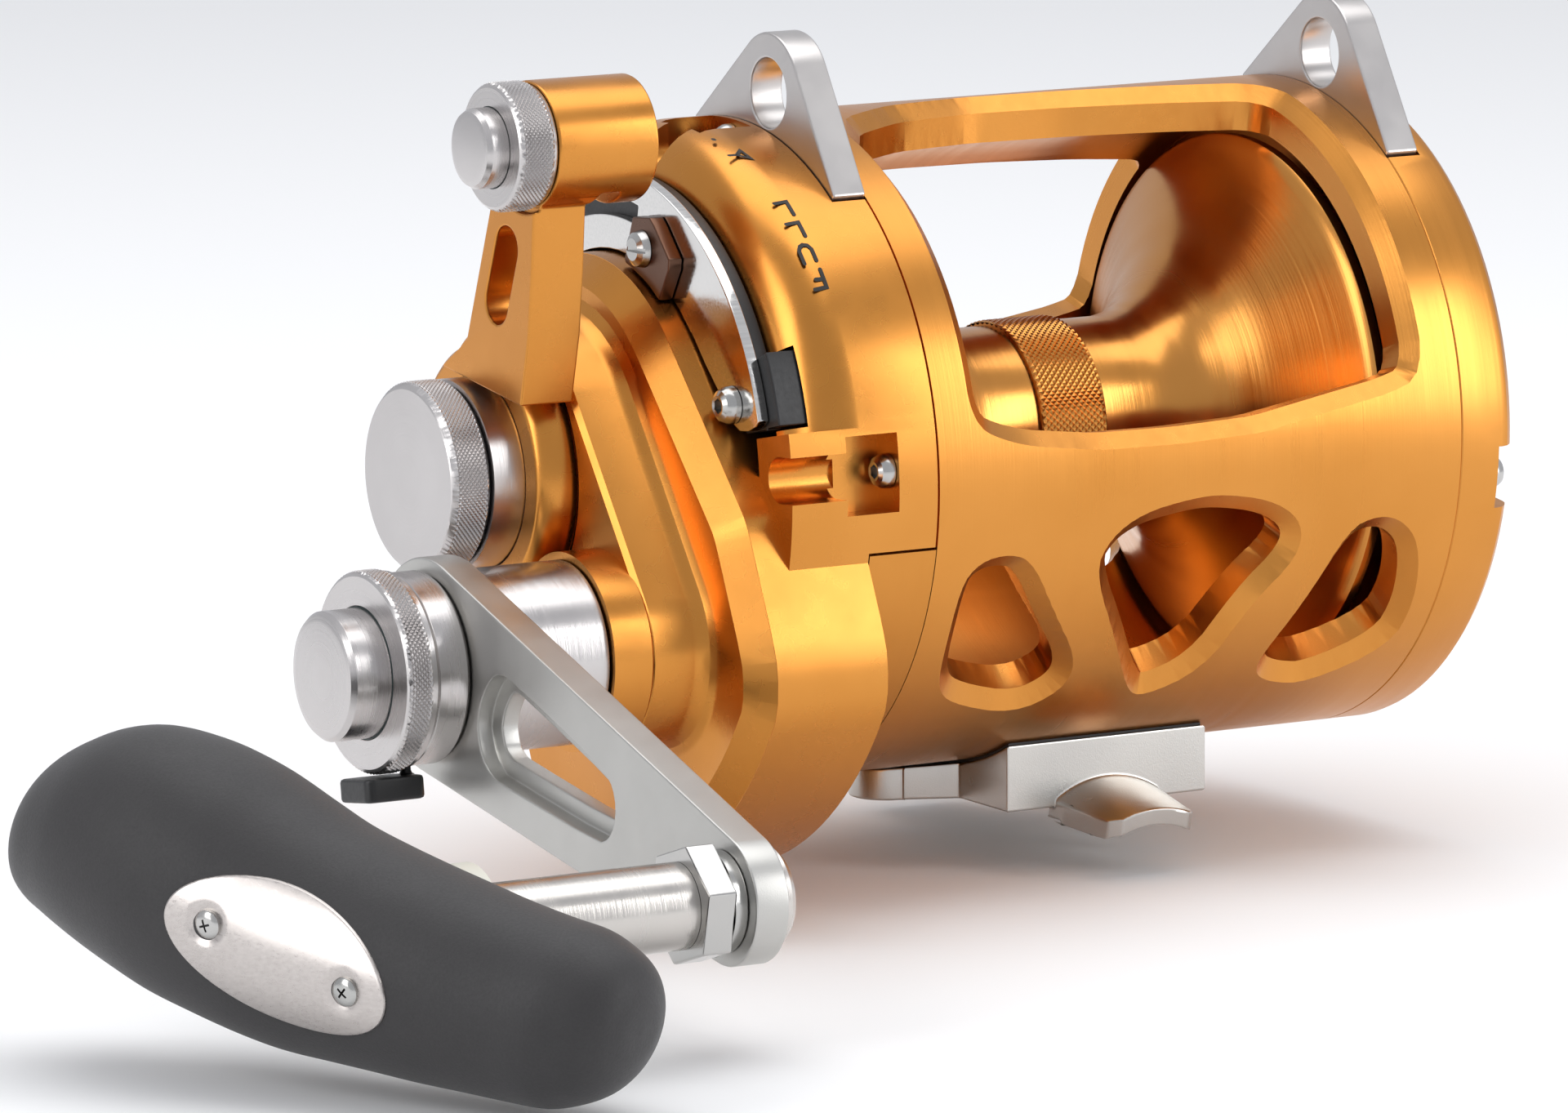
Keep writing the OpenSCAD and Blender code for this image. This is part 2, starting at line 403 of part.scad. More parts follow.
module knob_collar() color(silver) S() xring(-52.3,-45.5,13.68,3.3);
module hub_seal() color(black) S() xring(-41.4,-38.7,18,6.4);
module drag_cam() color(steel) S() xring(-45.2,-41.9,13.7,5.1);
module cam_follower() color(steel) S() xring(-38.4,-36.8,6.2,5.06);
module spring_washers() color(steel) S() xring(-31.7,-30.7,7.4,5.1);

frame();
handle_plate();
rim_insert();
far_plate();
foot();
foot_gasket();
foot_screws();
lug_near();
lug_far();
plate_screws_near();
plate_screws_far();
quadrant();
quadrant_base();
quadrant_screws();
strike_stop();
strike_screw();
bridge_plate();
bridge_screws();
handle_bearings();
shaft_bearings();
spool_shaft();
far_cap();
click_button();
anti_reverse_dog();
spool();
drag_washer();
click_gear();
spool_bearings();
pressure_plate();
pinion();
gear_low();
gear_high();
ratchet();
handle_shaft();
crank_sleeve();
crank_arm();
hub_ring();
handle_nut();
shift_button();
shift_tab();
spindle();
spindle_nut();
grip();
grip_bushing();
badge();
badge_screws();
lever();
lever_collar();
lever_button();
preset_knob();
knob_collar();
hub_seal();
drag_cam();
cam_follower();
spring_washers();
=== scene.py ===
import math
import bpy
import bmesh
from mathutils import Matrix, Vector


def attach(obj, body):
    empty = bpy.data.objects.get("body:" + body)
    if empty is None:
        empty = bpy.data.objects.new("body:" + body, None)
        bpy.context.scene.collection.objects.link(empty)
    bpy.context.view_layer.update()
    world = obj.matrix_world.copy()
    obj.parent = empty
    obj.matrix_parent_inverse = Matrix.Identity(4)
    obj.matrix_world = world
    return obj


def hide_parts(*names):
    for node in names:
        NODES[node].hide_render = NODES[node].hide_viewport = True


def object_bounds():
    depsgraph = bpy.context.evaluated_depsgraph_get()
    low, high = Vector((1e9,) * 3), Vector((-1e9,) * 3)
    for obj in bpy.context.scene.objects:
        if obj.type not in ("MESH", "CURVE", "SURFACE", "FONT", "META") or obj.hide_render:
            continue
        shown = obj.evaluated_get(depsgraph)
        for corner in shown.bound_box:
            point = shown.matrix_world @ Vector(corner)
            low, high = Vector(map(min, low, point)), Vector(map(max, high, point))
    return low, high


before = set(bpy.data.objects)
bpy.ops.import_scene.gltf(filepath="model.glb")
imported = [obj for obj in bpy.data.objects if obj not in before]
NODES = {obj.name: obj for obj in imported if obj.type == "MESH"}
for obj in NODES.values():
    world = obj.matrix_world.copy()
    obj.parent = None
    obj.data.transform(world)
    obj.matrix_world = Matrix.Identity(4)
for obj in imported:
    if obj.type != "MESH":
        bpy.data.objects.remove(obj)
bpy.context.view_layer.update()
scene = bpy.context.scene
scene.view_settings.view_transform = "Standard"

AX = Vector((0.0, 0.0, 0.053))          # a point of the spool axis, which runs along X
HX = Vector((0.0, -0.026, 0.031))       # a point of the crank axis
GX = Vector((0.0, -0.107689, 0.011434))  # a point of the grip spindle's axis
LX = Vector((0.0, -0.020, 0.102))       # a point of the lever head's axis


def lin(c):
    return tuple(x / 12.92 if x <= 0.04045 else ((x + 0.055) / 1.055) ** 2.4 for x in c) + (1.0,)


def X(x):
    return (x - 44.0) / 1000.0


# ---------------------------------------------------------------- materials
class Mat:
    """A small helper that strings nodes together."""

    def __init__(self, name):
        self.m = bpy.data.materials.new(name)
        self.m.use_nodes = True
        self.t = self.m.node_tree
        self.bsdf = self.t.nodes["Principled BSDF"]
        self.out = self.t.nodes["Material Output"]

    def n(self, kind, **kw):
        node = self.t.nodes.new(kind)
        for k, v in kw.items():
            if k in ("operation", "data_type", "blend_type", "noise_dimensions", "feature", "distance", "bands_direction", "wave_type", "wave_profile", "interpolation_type", "attribute_name", "normalize"):
                setattr(node, k, v)
            else:
                node.inputs[k.replace("_", " ")].default_value = v
        return node

    def link(self, a, b):
        self.t.links.new(a, b)

    def math(self, op, a, b=None, clamp=False):
        node = self.t.nodes.new("ShaderNodeMath")
        node.operation = op
        node.use_clamp = clamp
        for i, v in enumerate((a, b)):
            if v is None:
                continue
            if isinstance(v, (int, float)):
                node.inputs[i].default_value = v
            else:
                self.link(v, node.inputs[i])
        return node.outputs[0]

    def ramp(self, fac, lo, hi, to_lo, to_hi):
        node = self.t.nodes.new("ShaderNodeMapRange")
        node.inputs["From Min"].default_value = lo
        node.inputs["From Max"].default_value = hi
        node.inputs["To Min"].default_value = to_lo
        node.inputs["To Max"].default_value = to_hi
        self.link(fac, node.inputs["Value"])
        return node.outputs[0]

    def coords(self):
        tc = self.t.nodes.new("ShaderNodeTexCoord")
        return tc.outputs["Object"]

    def turned(self, axis_pt, along="X"):
        """Coordinates (along, radius, 0) in metres about an axis: constant round the part, as marks of turning are."""
        sep = self.t.nodes.new("ShaderNodeSeparateXYZ")
        self.link(self.coords(), sep.inputs[0])
        y = self.math("SUBTRACT", sep.outputs[1], axis_pt[1])
        z = self.math("SUBTRACT", sep.outputs[2], axis_pt[2])
        r = self.math("SQRT", self.math("ADD", self.math("MULTIPLY", y, y), self.math("MULTIPLY", z, z)))
        comb = self.t.nodes.new("ShaderNodeCombineXYZ")
        self.link(sep.outputs[0], comb.inputs[0])
        self.link(r, comb.inputs[1])
        return comb.outputs[0]

    def scaled(self, vec, s):
        node = self.t.nodes.new("ShaderNodeMapping")
        node.vector_type = "POINT"
        node.inputs["Scale"].default_value = s
        self.link(vec, node.inputs["Vector"])
        return node.outputs[0]

    def noise(self, vec, scale, detail=2.0, rough=0.5):
        node = self.t.nodes.new("ShaderNodeTexNoise")
        node.inputs["Scale"].default_value = scale
        node.inputs["Detail"].default_value = detail
        node.inputs["Roughness"].default_value = rough
        self.link(vec, node.inputs["Vector"])
        return node.outputs["Fac"]

    def bump(self, height, strength, dist, normal=None):
        node = self.t.nodes.new("ShaderNodeBump")
        node.inputs["Strength"].default_value = strength
        node.inputs["Distance"].default_value = dist
        self.link(height, node.inputs["Height"])
        if normal is not None:
            self.link(normal, node.inputs["Normal"])
        return node.outputs["Normal"]

    def mix(self, fac, a, b):
        node = self.t.nodes.new("ShaderNodeMix")
        node.data_type = "RGBA"
        if isinstance(fac, (int, float)):
            node.inputs["Factor"].default_value = fac
        else:
            self.link(fac, node.inputs["Factor"])
        for sock, v in ((node.inputs[6], a), (node.inputs[7], b)):
            if isinstance(v, tuple):
                sock.default_value = v
            else:
                self.link(v, sock)
        return node.outputs[2]


def metal(name, col, dark, rough, axis_pt=None, turned=0.25, blast=0.12, wear=0.0, spread=0.07, lines=2600.0):
    """Anodised or plain metal: a tint that drifts slowly, turning marks round axis_pt, and a fine blasted grain."""
    k = Mat(name)
    co = k.coords()
    drift = k.noise(co, 38.0, 3.0, 0.55)
    k.link(k.mix(k.ramp(drift, 0.3, 0.7, 0.0, 1.0), lin(dark), lin(col)), k.bsdf.inputs["Base Color"])
    k.bsdf.inputs["Metallic"].default_value = 1.0
    grain = k.noise(co, 5200.0, 2.0, 0.6)
    if axis_pt is not None:
        lathe = k.noise(k.scaled(k.turned(axis_pt), (1, 1, 1)), lines, 3.0, 0.7)
        smear = k.noise(k.scaled(k.turned(axis_pt), (1, 1, 1)), lines / 6.0, 2.0, 0.6)
        h = k.bump(lathe, turned, 0.00005, k.bump(grain, blast, 0.00003))
        r = k.math("ADD", k.ramp(smear, 0.3, 0.7, rough - spread * 0.5, rough + spread * 0.5), k.ramp(drift, 0.3, 0.7, -0.02, 0.02))
    else:
        h = k.bump(grain, blast, 0.00004)
        r = k.math("ADD", k.ramp(k.noise(co, 120.0, 3.0, 0.6), 0.3, 0.7, rough - spread * 0.5, rough + spread * 0.5), k.ramp(drift, 0.3, 0.7, -0.02, 0.02))
    k.link(r, k.bsdf.inputs["Roughness"])
    k.link(h, k.bsdf.inputs["Normal"])
    return k.m


def brushed(name, col, dark, rough, direction, fine=2200.0, depth=0.25):
    """Metal with straight brushing along one direction of the part."""
    k = Mat(name)
    co = k.coords()
    s = [1.0, 1.0, 1.0]
    s[direction] = 0.02
    lines = k.noise(k.scaled(co, tuple(s)), fine, 3.0, 0.65)
    drift = k.noise(co, 60.0, 2.0, 0.5)
    k.link(k.mix(k.ramp(lines, 0.3, 0.7, 0.0, 1.0), lin(dark), lin(col)), k.bsdf.inputs["Base Color"])
    k.bsdf.inputs["Metallic"].default_value = 1.0
    k.link(k.math("ADD", k.ramp(lines, 0.3, 0.7, rough - 0.07, rough + 0.07), k.ramp(drift, 0.3, 0.7, -0.03, 0.03)), k.bsdf.inputs["Roughness"])
    k.link(k.bump(lines, depth, 0.00004), k.bsdf.inputs["Normal"])
    return k.m


def plastic(name, col, col2, rough, grain_scale=1500.0, depth=0.25, dist=0.00005, spec=0.5, sheen=0.0):
    k = Mat(name)
    co = k.coords()
    drift = k.noise(co, 45.0, 4.0, 0.6)
    grain = k.noise(co, grain_scale, 3.0, 0.6)
    k.link(k.mix(k.ramp(drift, 0.3, 0.7, 0.0, 1.0), lin(col), lin(col2)), k.bsdf.inputs["Base Color"])
    k.link(k.math("ADD", k.ramp(grain, 0.3, 0.7, rough - 0.05, rough + 0.05), k.ramp(drift, 0.3, 0.7, -0.04, 0.04)), k.bsdf.inputs["Roughness"])
    k.link(k.bump(grain, depth, dist), k.bsdf.inputs["Normal"])
    k.bsdf.inputs["Specular IOR Level"].default_value = spec
    if sheen:
        k.bsdf.inputs["Sheen Weight"].default_value = sheen
        k.bsdf.inputs["Sheen Roughness"].default_value = 0.5
    return k.m


GOLD, GOLD_D = (0.83, 0.565, 0.272), (0.80, 0.535, 0.245)
M = {
    "gold": metal("gold_satin", GOLD, GOLD_D, 0.30, AX),
    "gold_case": metal("gold_milled", GOLD, GOLD_D, 0.28, None),
    "gold_dark": metal("gold_segment", (0.81, 0.55, 0.26), (0.78, 0.52, 0.235), 0.34, AX),
    "gold_spool": metal("gold_turned", (0.84, 0.585, 0.30), (0.81, 0.55, 0.27), 0.24, AX, turned=0.45, lines=1500.0),
    "silver": metal("silver_satin", (0.79, 0.775, 0.765), (0.75, 0.735, 0.73), 0.32, None),
    "silver_knob": metal("silver_turned_knob", (0.81, 0.795, 0.79), (0.77, 0.755, 0.75), 0.30, AX, turned=0.35),
    "silver_crank": metal("silver_turned_crank", (0.81, 0.795, 0.79), (0.77, 0.755, 0.75), 0.27, HX, turned=0.35),
    "silver_head": metal("silver_turned_head", (0.81, 0.795, 0.79), (0.77, 0.755, 0.75), 0.28, LX, turned=0.35),
    "silver_spindle": metal("silver_turned_spindle", (0.82, 0.80, 0.78), (0.77, 0.755, 0.735), 0.26, GX, turned=0.4),
    "silver_arm": metal("silver_blasted", (0.77, 0.765, 0.75), (0.73, 0.725, 0.71), 0.38, None, blast=0.3),
    "foot": metal("silver_cast", (0.80, 0.79, 0.77), (0.74, 0.73, 0.715), 0.30, None, blast=0.45),
    "steel": metal("stainless", (0.78, 0.77, 0.76), (0.70, 0.70, 0.69), 0.22, None),
    "gear": metal("gear_steel", (0.62, 0.62, 0.63), (0.55, 0.55, 0.57), 0.33, AX),
    "polished": brushed("polished_stainless", (0.90, 0.89, 0.88), (0.84, 0.835, 0.825), 0.13, 0, depth=0.08),
    "badge": brushed("badge_brushed", (0.78, 0.755, 0.74), (0.73, 0.705, 0.69), 0.32, 1, depth=0.12),
    "bronze": metal("strike_bronze", (0.46, 0.34, 0.28), (0.36, 0.26, 0.21), 0.30, None),
    "black": plastic("black_matt", (0.12, 0.12, 0.125), (0.10, 0.10, 0.105), 0.42),
    "seal": plastic("seal_dark_green", (0.06, 0.17, 0.17), (0.05, 0.13, 0.13), 0.45),
    "grip": plastic("soft_grip", (0.158, 0.150, 0.154), (0.144, 0.137, 0.141), 0.60, grain_scale=2600.0, depth=0.5, dist=0.00006, sheen=0.12),
    "nylon": plastic("bushing_nylon", (0.86, 0.85, 0.80), (0.82, 0.81, 0.76), 0.4),
    "carbon": plastic("drag_lining", (0.16, 0.16, 0.17), (0.12, 0.12, 0.13), 0.55),
    "ink": plastic("dial_ink", (0.10, 0.085, 0.06), (0.08, 0.07, 0.05), 0.5),
}
USE = {
    "frame": "gold", "handle_plate": "gold_case", "rim_insert": "gold_dark", "far_plate": "gold", "foot": "foot", "foot_gasket": "black",
    "foot_screws": "steel", "lug_near": "silver", "lug_far": "silver", "plate_screws_near": "steel", "plate_screws_far": "steel",
    "quadrant": "polished", "quadrant_base": "black", "quadrant_screws": "steel", "strike_stop": "bronze", "strike_screw": "steel",
    "bridge_plate": "gear", "bridge_screws": "steel", "handle_bearings": "gear", "shaft_bearings": "gear", "spool_shaft": "gear",
    "far_cap": "gold", "click_button": "silver", "anti_reverse_dog": "gear", "spool": "gold_spool", "drag_washer": "carbon",
    "click_gear": "gear", "spool_bearings": "gear", "pressure_plate": "gear", "pinion": "gear", "gear_low": "gear", "gear_high": "gear",
    "ratchet": "gear", "handle_shaft": "gear", "crank_sleeve": "silver_crank", "crank_arm": "silver_arm", "hub_ring": "silver_crank",
    "handle_nut": "silver_crank", "shift_button": "silver_crank", "shift_tab": "black", "spindle": "silver_spindle", "spindle_nut": "steel",
    "grip": "grip", "grip_bushing": "nylon", "badge": "badge", "badge_screws": "steel", "lever": "gold_case", "lever_collar": "silver_head",
    "lever_button": "silver_head", "preset_knob": "silver_knob", "knob_collar": "silver_knob", "hub_seal": "seal", "drag_cam": "gear",
    "cam_follower": "gear", "spring_washers": "gear",
}


# ---------------------------------------------------------------- soft edges on the machined parts
def smooth_group():
    g = bpy.data.node_groups.new("smooth_by_angle_kit", "GeometryNodeTree")
    g.interface.new_socket("Geometry", in_out="INPUT", socket_type="NodeSocketGeometry")
    g.interface.new_socket("Geometry", in_out="OUTPUT", socket_type="NodeSocketGeometry")
    i, o = g.nodes.new("NodeGroupInput"), g.nodes.new("NodeGroupOutput")
    a = g.nodes.new("GeometryNodeSetShadeSmooth")
    a.domain = "FACE"
    a.inputs["Shade Smooth"].default_value = True
    b = g.nodes.new("GeometryNodeSetShadeSmooth")
    b.domain = "EDGE"
    b.inputs["Shade Smooth"].default_value = False
    ang = g.nodes.new("GeometryNodeInputMeshEdgeAngle")
    cmp_ = g.nodes.new("FunctionNodeCompare")
    cmp_.data_type = "FLOAT"
    cmp_.operation = "GREATER_THAN"
    cmp_.inputs[1].default_value = math.radians(24)
    g.links.new(i.outputs[0], a.inputs[0])
    g.links.new(a.outputs[0], b.inputs[0])
    g.links.new(ang.outputs["Unsigned Angle"], cmp_.inputs[0])
    g.links.new(cmp_.outputs[0], b.inputs["Selection"])
    g.links.new(b.outputs[0], o.inputs[0])
    return g


SMOOTH = smooth_group()


def soften(o, width=0.0, angle=30.0, segments=2):
    me = o.data
    if "custom_normal" in me.attributes:
        me.attributes.remove(me.attributes["custom_normal"])
    for p in me.polygons:
        p.use_smooth = True
    w = o.modifiers.new("weld", "WELD")
    w.merge_threshold = 2e-6
    if width:
        d = o.modifiers.new("flat", "DECIMATE")
        d.decimate_type = "DISSOLVE"
        d.angle_limit = math.radians(0.6)
        b = o.modifiers.new("edge", "BEVEL")
        b.limit_method = "ANGLE"
        b.angle_limit = math.radians(angle)
        b.width = width
        b.segments = segments
        b.use_clamp_overlap = False
        b.miter_outer = "MITER_ARC"
        b.harden_normals = False
    s = o.modifiers.new("smooth", "NODES")
    s.node_group = SMOOTH
    if width:
        wn = o.modifiers.new("flat_faces", "WEIGHTED_NORMAL")
        wn.keep_sharp = True
        wn.weight = 100


# width of the broken edges, in metres
EDGE = {"crank_arm": 0.00035, "lever": 0.0004, "lug_near": 0.0004, "lug_far": 0.0004, "foot": 0.0004, "quadrant": 0.0002, "quadrant_base": 0.00025,
        "strike_stop": 0.0003, "spindle_nut": 0.00035, "shift_tab": 0.0005}
for name, o in NODES.items():
    o.data.materials.clear()
    o.data.materials.append(M[USE[name]])
    soften(o, EDGE.get(name, 0.0))

# ---------------------------------------------------------------- pieces built here
def piece(name, bm, mat, body, replaces=(), smooth=True, weld=False):
    bmesh.ops.recalc_face_normals(bm, faces=bm.faces[:])
    me = bpy.data.meshes.new(name)
    bm.to_mesh(me)
    bm.free()
    for p in me.polygons:
        p.use_smooth = True
    o = bpy.data.objects.new(name, me)
    scene.collection.objects.link(o)
    me.materials.append(mat)
    if smooth:
        m = o.modifiers.new("smooth", "NODES")
        m.node_group = SMOOTH
    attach(o, body)
    if replaces:
        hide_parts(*replaces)
    return o


def ring_grid(bm, rings, close=True):
    """Faces between successive rings of vertices; a ring of one vertex is a pole."""
    for a, b in zip(rings, rings[1:]):
        n = max(len(a), len(b))
        for i in range(n if close else n - 1):
            j = (i + 1) % n
            if len(a) == 1:
                bm.faces.new((a[0], b[i], b[j]))
            elif len(b) == 1:
                bm.faces.new((a[i], b[0], a[j]))
            else:
                bm.faces.new((a[i], b[i], b[j], a[j]))


def join(bm, a, b):
    """Faces between two rings with different numbers of vertices, by angle."""
    na, nb = len(a), len(b)
    i = j = 0
    while i < na or j < nb:
        if j >= nb or (i < na and (i + 1) / na <= (j + 1) / nb):
            bm.faces.new((a[i % na], b[j % nb], a[(i + 1) % na]))
            i += 1
        else:
            bm.faces.new((a[i % na], b[j % nb], b[(j + 1) % nb]))
            j += 1


def turned(name, parts, pt, mat, body, replaces=(), slot=None, n=128):
    """Turns a profile round the axis and closes bands onto plain rings of another count."""
    bm = bmesh.new()
    prev = None
    first = None

    def ring(x, r, m):
        if r <= 1e-6:
            return [bm.verts.new((X(x), pt[1], pt[2]))]
        return [bm.verts.new((X(x), pt[1] + r / 1000 * math.cos(2 * math.pi * i / m), pt[2] + r / 1000 * math.sin(2 * math.pi * i / m))) for i in range(m)]

    def bridge(a, b):
        if len(a) == len(b) or len(a) == 1 or len(b) == 1:
            ring_grid(bm, [a, b])
        else:
            join(bm, a, b)

    for q in parts:
        if q[0] != "knurl":
            r_ = ring(q[0], q[1], n)
            if prev is not None:
                bridge(prev, r_)
            prev = r_
        else:
            _, x0, x1, r, d, around, along = q
            m, k = 2 * around, 2 * along
            grid = []
            for j in range(k + 1):
                x = x0 + (x1 - x0) * j / k
                row = []
                for i in range(m):
                    rr = r if (i + j) % 2 == 0 else r - d
                    if j in (0, k):
                        rr = r - d * (0.45 if (i + j) % 2 == 0 else 1.0)
                    row.append(bm.verts.new((X(x), pt[1] + rr / 1000 * math.cos(2 * math.pi * i / m), pt[2] + rr / 1000 * math.sin(2 * math.pi * i / m))))
                grid.append(row)
            for j in range(k):
                for i in range(m):
                    a, b, c, e = grid[j][i], grid[j][(i + 1) % m], grid[j + 1][(i + 1) % m], grid[j + 1][i]
                    if (i + j) % 2 == 0:
                        bm.faces.new((a, b, e))
                        bm.faces.new((b, c, e))
                    else:
                        bm.faces.new((a, b, c))
                        bm.faces.new((a, c, e))
            if prev is not None:
                bridge(prev, grid[0])
            if first is None:
                first = grid[0]
            prev = grid[-1]
        if first is None:
            first = prev
    if len(prev) > 1 and len(first) > 1:
        bridge(prev, first)
    return piece(name, bm, mat, body, replaces)


# preset knob of the drag, with its diamond knurl
turned("preset_knob_knurled", [[-58.8, 0], [-58.8, 12.7], [-58.65, 12.95], ["knurl", -57.9, -53.3, 13.8, 0.34, 110, 7], [-52.9, 13.2], [-52.6, 12.9], [-52.6, 3.3], [-57.2, 3.3], [-57.2, 0]],
       AX, M["silver_knob"], "preset_body", ["preset_knob"], "silver_anodised")
# knurled collar of the lever head
turned("lever_collar_knurled", [[-56.0, 5.8], [-56.0, 8.35], [-55.75, 8.7], ["knurl", -55.3, -50.9, 9.15, 0.3, 76, 7], [-50.6, 8.75], [-50.06, 8.6], [-50.06, 5.8]],
       LX, M["silver_head"], "lever_body", ["lever_collar"], "silver_anodised")
# knurled nut of the crank
turned("handle_nut_knurled", [[-77.4, 6.6], [-77.4, 9.25], [-80.35, 9.25], [-80.5, 9.45], [-80.5, 13.45], [-80.3, 13.8], ["knurl", -79.9, -76.9, 14.3, 0.34, 110, 4], [-76.6, 13.9], [-75.9, 13.9], [-75.9, 6.6]],
       HX, M["silver_crank"], "crank_body", ["handle_nut"], "silver_anodised")
# knurled band on the arbor of the spool
turned("arbor_band", [[37.4, 15.02], ["knurl", 37.6, 48.2, 15.34, 0.2, 92, 10], [48.4, 15.02]], AX, M["gold_spool"], "spool_body", (), "gold_anodised")

# thin dark seals that show as lines beside the two buttons and under the nut
for name, x0, x1, r0, r1, pt, body in (("seal_shift_button", -80.48, -80.1, 9.12, 9.3, HX, "crank_body"), ("seal_lever_button", -55.9, -55.5, 5.66, 5.82, LX, "lever_body"),
                                       ("seal_nut", -75.89, -75.7, 12.4, 13.2, HX, "crank_body")):
    turned(name, [[x0, r0], [x0, r1], [x1, r1], [x1, r0]], pt, M["seal"], body, (), "seal_rubber")

# ---- the grip, one smooth soft moulding
# place along the grip, radius, rise of the middle
GS = [[-40.9, 3.4, 2.03], [-40.3, 5.6, 1.93], [-39.3, 7.6, 1.76], [-37.4, 9.5, 1.44], [-34.5, 11.04, 0.99], [-30.5, 12.31, 0.44],
      [-25, 12.71, -0.14], [-18, 13.2, -0.64], [-11, 13.86, -1], [-4, 14.43, -1.24], [3, 15.09, -1.42], [10, 15.85, -1.45], [17, 16.63, -0.7],
      [24, 17.22, 0.35], [31, 17.34, 1.12], [37, 16.76, 1.7], [42, 15.87, 1.9], [46.5, 14.48, 1.55], [50.5, 12.71, 0.75], [53.8, 10.94, -0.19],
      [56.2, 8.9, -1], [57.6, 6.4, -1.5], [58.2, 3.2, -1.73]]


def catmull(P, per):
    out = []
    for i in range(len(P) - 1):
        a, b, c, d = (Vector(P[max(0, min(len(P) - 1, i + k))]) for k in (-1, 0, 1, 2))
        for j in range(per):
            t = j / per
            out.append(0.5 * ((2 * b) + (c - a) * t + (2 * a - 5 * b + 4 * c - d) * t * t + (3 * b - 3 * c + d - a) * t ** 3))
    out.append(Vector(P[-1]))
    return out


GRIP_AT = Matrix.Translation((X(-120.8), GX[1], GX[2] - 0.00119)) @ Matrix.Rotation(math.radians(13.1), 4, "X") @ Matrix.Rotation(math.radians(25), 4, "Z")
PROFILE = catmull([[-41.15, 0, 2.06]] + GS + [[58.45, 0, -1.75]], 5)


def half_sizes(y):
    for p, q in zip(PROFILE, PROFILE[1:]):
        if p[0] <= y <= q[0]:
            t = (y - p[0]) / max(1e-9, q[0] - p[0])
            return p[1] + (q[1] - p[1]) * t, p[2] + (q[2] - p[2]) * t
    return 0.001, 0.0


def applied(o, *cutters):
    """Cuts o with the cutters and keeps the result as plain mesh."""
    for c in cutters:
        m = o.modifiers.new("cut", "BOOLEAN")
        m.operation = "DIFFERENCE"
        m.solver = "EXACT"
        m.object = c
    bpy.context.view_layer.update()
    dg = bpy.context.evaluated_depsgraph_get()
    me = bpy.data.meshes.new_from_object(o.evaluated_get(dg))
    o.modifiers.clear()
    o.data = me
    for c in cutters:
        bpy.data.objects.remove(c)


def raw(name, bm):
    bmesh.ops.recalc_face_normals(bm, faces=bm.faces[:])
    me = bpy.data.meshes.new(name)
    bm.to_mesh(me)
    bm.free()
    o = bpy.data.objects.new(name, me)
    scene.collection.objects.link(o)
    return o


bm = bmesh.new()
rings = []
for p in PROFILE:
    if p[1] < 0.01:
        rings.append([bm.verts.new(GRIP_AT @ Vector((0, p[0] / 1000, p[2] / 1000)))])
    else:
        rings.append([bm.verts.new(GRIP_AT @ Vector((p[1] / 1000 * math.sin(2 * math.pi * i / 80), p[0] / 1000, p[2] / 1000 + p[1] / 1000 * math.cos(2 * math.pi * i / 80)))) for i in range(80)])
ring_grid(bm, rings)
grip = raw("grip_soft", bm)
bm = bmesh.new()
bmesh.ops.create_cone(bm, cap_ends=True, segments=96, radius1=0.00905, radius2=0.00905, depth=0.0498,
                      matrix=Matrix.Translation((X(-104.9), GX[1], GX[2])) @ Matrix.Rotation(math.pi / 2, 4, "Y"))
applied(grip, raw("bore_cutter", bm))
for p in grip.data.polygons:
    p.use_smooth = True
grip.data.materials.clear()
grip.data.materials.append(M["grip"])
m = grip.modifiers.new("smooth", "NODES")
m.node_group = SMOOTH
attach(grip, "grip_body")
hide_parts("grip")

# ---- the oval badge: follows the grip, dished round its two screws
A_, B_ = 16.9, 8.4
BY, BZ, BT = 6.6, 0.8, math.radians(7.8)     # place and tilt of the badge on the grip
SCREW_Y = 10.8


def on_grip(u, v):
    """Place on the grip of a point of the badge, u along it and v across it, in mm."""
    return BY + u * math.cos(BT) - v * math.sin(BT), BZ + u * math.sin(BT) + v * math.cos(BT)


def badge_x(u, v):
    y, z = on_grip(u, v)
    a, c = half_sizes(y)
    x = a * math.sqrt(max(0.02, 1 - ((z - c) / a) ** 2)) + 0.42
    for s_ in (-1, 1):
        d = math.hypot(u - s_ * SCREW_Y, v)
        if d < 3.4:
            x -= 0.95 * (0.5 + 0.5 * math.cos(math.pi * d / 3.4)) ** 0.8
    return -x


def on_badge(x, u, v):
    return GRIP_AT @ (Vector((x,) + on_grip(u, v)) / 1000)


bm = bmesh.new()
rings = [[bm.verts.new(on_badge(badge_x(0, 0), 0, 0))]]
NR, NA = 44, 128
for k in range(1, NR + 1):
    f = (k / NR) ** 0.9
    rings.append([bm.verts.new(on_badge(badge_x(f * A_ * math.cos(t), f * B_ * math.sin(t)), f * A_ * math.cos(t), f * B_ * math.sin(t)))
                  for t in (2 * math.pi * i / NA for i in range(NA))])
for grow, drop in ((1.012, 0.10), (1.018, 0.30), (1.018, 1.1)):
    rings.append([bm.verts.new(on_badge(badge_x(A_ * math.cos(t), B_ * math.sin(t)) + drop, grow * A_ * math.cos(t), grow * B_ * math.sin(t)))
                  for t in (2 * math.pi * i / NA for i in range(NA))])
rings.append([bm.verts.new(on_badge(badge_x(0, 0) + 1.5, 0, 0))])
ring_grid(bm, rings)
piece("badge_oval", bm, M["badge"], "grip_body", ["badge"])


